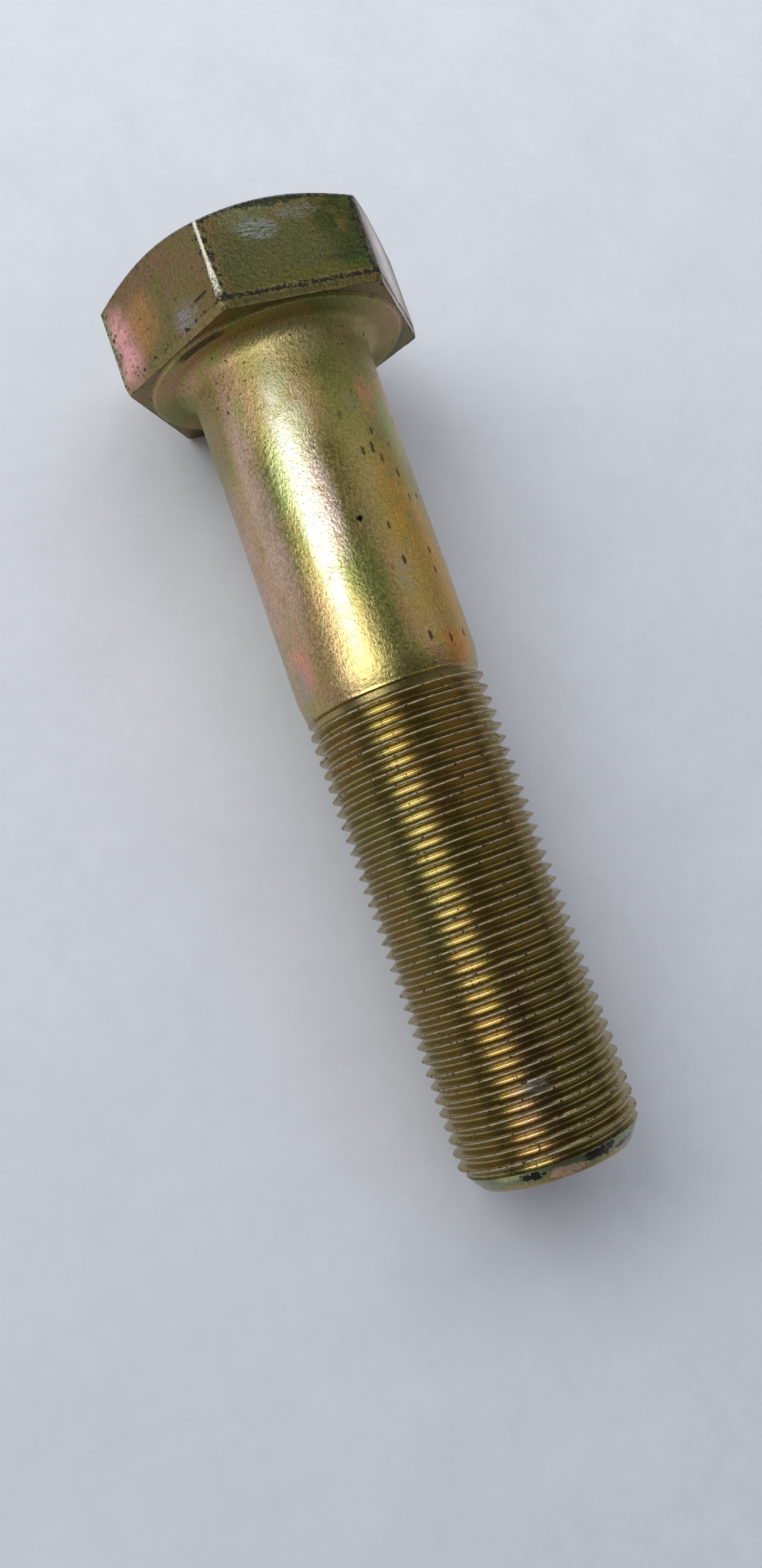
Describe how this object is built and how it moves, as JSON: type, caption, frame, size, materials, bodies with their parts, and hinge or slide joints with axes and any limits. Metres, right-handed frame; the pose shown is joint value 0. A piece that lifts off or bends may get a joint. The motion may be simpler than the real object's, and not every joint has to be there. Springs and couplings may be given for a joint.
{
  "type": "hex bolt",
  "caption": "Large hex bolt with a chamfered hex head, washer face, plain shank and fine right-hand thread to a conical point, yellow zinc plated.",
  "frame": {"origin": "centre of the bearing face, where the shank axis meets the flat of the washer face", "axes": "+X along the shank axis from the point towards the head, +Z normal to the upper flat of the hexagon, so the bolt lies along X with one flat down"},
  "size_m": [0.129, 0.0432, 0.0374],
  "materials": {
    "plated_steel": "yellow chromate over zinc, olive gold with pink and green tints, worn bright on the crests and the head's edge"
  },
  "bodies": {
    "root": {"hex_bolt": "plated_steel"}
  },
  "joints": []
}
